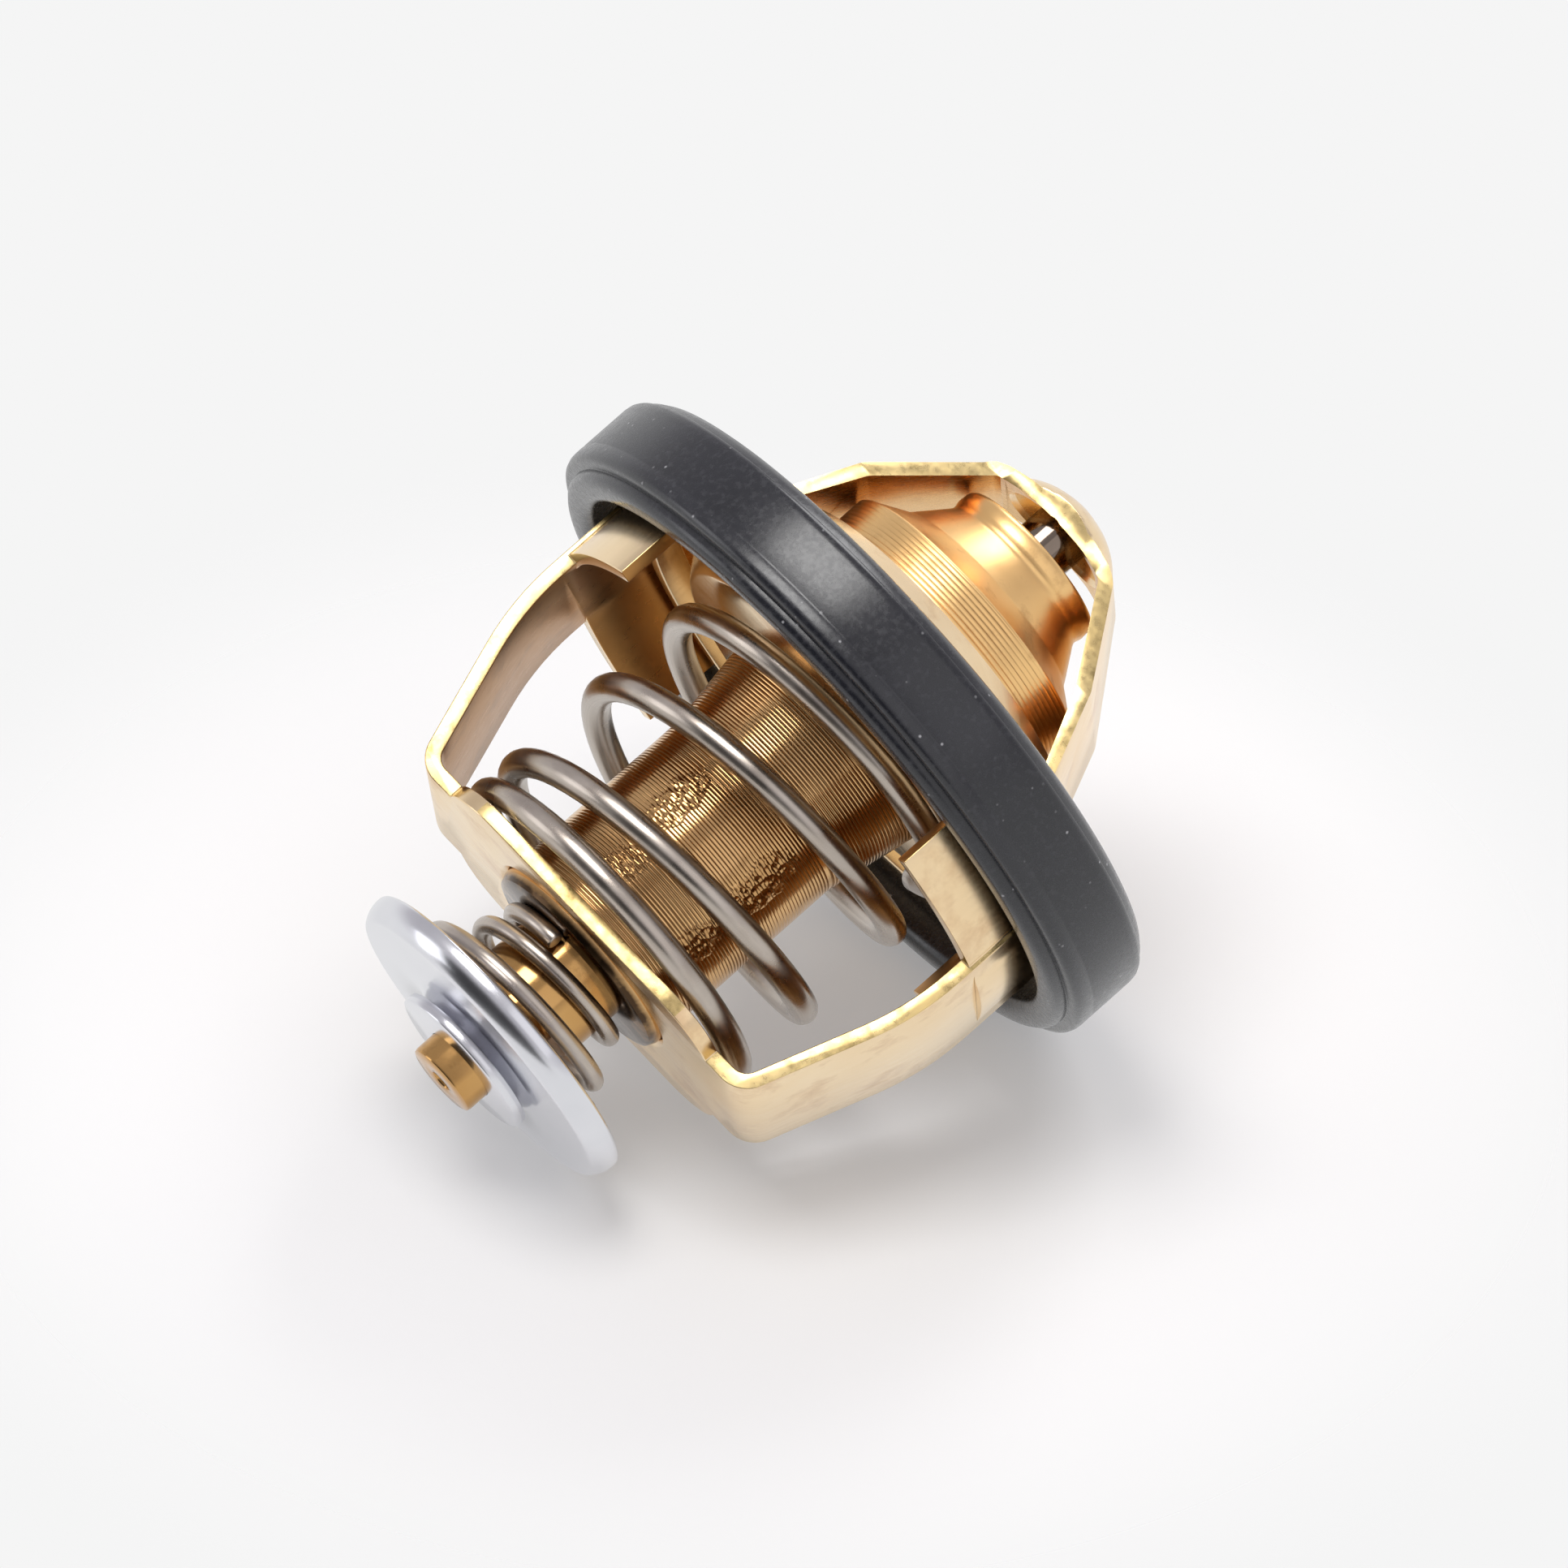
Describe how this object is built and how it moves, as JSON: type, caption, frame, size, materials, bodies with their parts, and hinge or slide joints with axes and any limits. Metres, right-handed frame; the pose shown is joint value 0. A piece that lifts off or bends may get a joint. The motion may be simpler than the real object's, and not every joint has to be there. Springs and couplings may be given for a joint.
{
  "type": "coolant control valve",
  "caption": "Wax-element coolant valve with a rubber-edged flange, brass bridge and stirrup, coil spring, stepped wax cap and a sprung bypass disc on a stem.",
  "frame": {"origin": "on the valve axis at the mid-height of the flange and its rubber ring", "axes": "+Z along the valve axis towards the bridge, +X from one frame leg to the other, +Y to complete a right-handed frame"},
  "size_m": [0.054, 0.054, 0.062],
  "materials": {
    "seal_rubber": "moulded black rubber",
    "frame_brass": "satin pressed brass",
    "element_brass": "turned bronze-toned brass",
    "spring_steel": "drawn stainless wire",
    "piston_steel": "polished steel",
    "zinc_plate": "zinc-plated steel",
    "boot_rubber": "moulded black rubber",
    "wax": "dull wax"
  },
  "bodies": {
    "frame": {"flange_seal": "seal_rubber", "flange_plate": "frame_brass", "upper_bridge": "frame_brass", "piston": "piston_steel", "lower_frame": "frame_brass", "main_spring": "spring_steel"},
    "element": {"main_valve": "frame_brass", "element_cup": "element_brass", "rubber_boot": "boot_rubber", "wax_charge": "wax", "element_guide": "element_brass", "bypass_stem": "element_brass", "stop_washer": "zinc_plate", "bypass_spring": "spring_steel"},
    "bypass": {"bypass_disc": "zinc_plate"}
  },
  "joints": [
    {"name": "main_valve_slide", "type": "slide", "parent": "frame", "child": "element", "axis": [0, 0, -1], "range_m": [0, 0.008], "stiffness_N_per_m": 4000, "springref_m": -0.008, "deforming": ["main_spring"]},
    {"name": "bypass_slide", "type": "slide", "parent": "element", "child": "bypass", "axis": [0, 0, 1], "range_m": [0, 0.002], "stiffness_N_per_m": 1500, "springref_m": -0.003, "deforming": ["bypass_spring"]}
  ]
}
